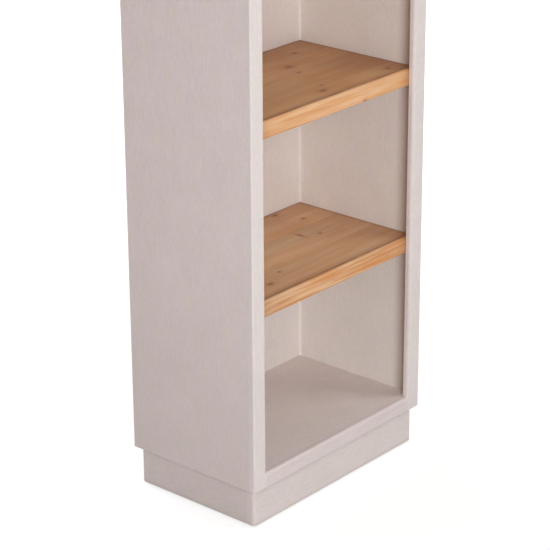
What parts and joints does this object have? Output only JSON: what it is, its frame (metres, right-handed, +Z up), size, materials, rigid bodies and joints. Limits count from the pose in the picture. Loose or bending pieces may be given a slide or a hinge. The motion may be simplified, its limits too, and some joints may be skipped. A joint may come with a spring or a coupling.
{
  "type": "hidden door bookcase",
  "caption": "Painted bookcase with waxed pine shelves that hides a doorway: it swings out from a slim wall frame on butt hinges, runs on castors behind its plinth and has a push latch.",
  "frame": {"origin": "middle of the footprint of the bookcase, its hinge knuckles and its wall frame, at floor level", "axes": "+Z up; the bookcase's open front faces -Y and the wall frame is at +Y; the hinges are at +X, so the latch side is at -X"},
  "size_m": [0.5124, 0.3456, 1.808],
  "materials": {
    "painted_wood": "off-white satin paint with faint brush strokes",
    "waxed_pine": "knotty edge-glued pine, waxed",
    "frame_pine": "planed softwood",
    "steel": "zinc plated",
    "nylon": "dark grey nylon",
    "latch_plastic": "white plastic"
  },
  "bodies": {
    "wall_frame": {"hinge_post": "frame_pine", "latch_post": "frame_pine", "frame_head": "frame_pine", "latch_housing": "latch_plastic", "hinge_lower_post_leaf": "steel", "hinge_lower_pin": "steel", "hinge_middle_post_leaf": "steel", "hinge_middle_pin": "steel", "hinge_upper_post_leaf": "steel", "hinge_upper_pin": "steel"},
    "bookcase": {"side_left": "painted_wood", "side_right": "painted_wood", "floor_board": "painted_wood", "top_board": "painted_wood", "back_panel": "painted_wood", "face_stile_left": "painted_wood", "face_stile_right": "painted_wood", "face_rail_bottom": "painted_wood", "face_rail_top": "painted_wood", "plinth_front": "painted_wood", "plinth_back": "painted_wood", "plinth_left": "painted_wood", "plinth_right": "painted_wood", "shelf_1": "waxed_pine", "shelf_2": "waxed_pine", "shelf_3": "waxed_pine", "shelf_4": "waxed_pine", "shelf_1_cleat_left": "painted_wood", "shelf_1_cleat_right": "painted_wood", "shelf_2_cleat_left": "painted_wood", "shelf_2_cleat_right": "painted_wood", "shelf_3_cleat_left": "painted_wood", "shelf_3_cleat_right": "painted_wood", "shelf_4_cleat_left": "painted_wood", "shelf_4_cleat_right": "painted_wood", "hinge_lower_case_leaf": "steel", "hinge_middle_case_leaf": "steel", "hinge_upper_case_leaf": "steel", "castor_front_left_fork": "steel", "castor_front_left_axle": "steel", "castor_front_right_fork": "steel", "castor_front_right_axle": "steel", "castor_rear_left_fork": "steel", "castor_rear_left_axle": "steel", "castor_rear_right_fork": "steel", "castor_rear_right_axle": "steel", "latch_keeper": "steel"},
    "latch_plunger": {"latch_plunger": "latch_plastic"},
    "castor_wheel_front_left": {"castor_front_left_wheel": "nylon"},
    "castor_wheel_front_right": {"castor_front_right_wheel": "nylon"},
    "castor_wheel_rear_left": {"castor_rear_left_wheel": "nylon"},
    "castor_wheel_rear_right": {"castor_rear_right_wheel": "nylon"}
  },
  "joints": [
    {"name": "bookcase_swing", "type": "hinge", "parent": "wall_frame", "child": "bookcase", "pos_m": [0.25025, 0.14, 0.9], "axis": [0, 0, 1], "range_deg": [0, 90]},
    {"name": "latch_plunger_push", "type": "slide", "parent": "wall_frame", "child": "latch_plunger", "axis": [0, 1, 0], "range_m": [0, 0.0035], "stiffness_N_per_m": 800, "springref_m": -0.003},
    {"name": "castor_front_left_roll", "type": "hinge", "parent": "bookcase", "child": "castor_wheel_front_left", "pos_m": [-0.18925, -0.1058, 0.025], "axis": [0.8728, 0.4881, 0], "continuous": true},
    {"name": "castor_front_right_roll", "type": "hinge", "parent": "bookcase", "child": "castor_wheel_front_right", "pos_m": [0.17675, -0.1058, 0.025], "axis": [0.2865, 0.9581, 0], "continuous": true},
    {"name": "castor_rear_left_roll", "type": "hinge", "parent": "bookcase", "child": "castor_wheel_rear_left", "pos_m": [-0.18925, 0.0702, 0.025], "axis": [0.9876, 0.1569, 0], "continuous": true},
    {"name": "castor_rear_right_roll", "type": "hinge", "parent": "bookcase", "child": "castor_wheel_rear_right", "pos_m": [0.17675, 0.0702, 0.025], "axis": [0.7251, 0.6886, 0], "continuous": true}
  ]
}
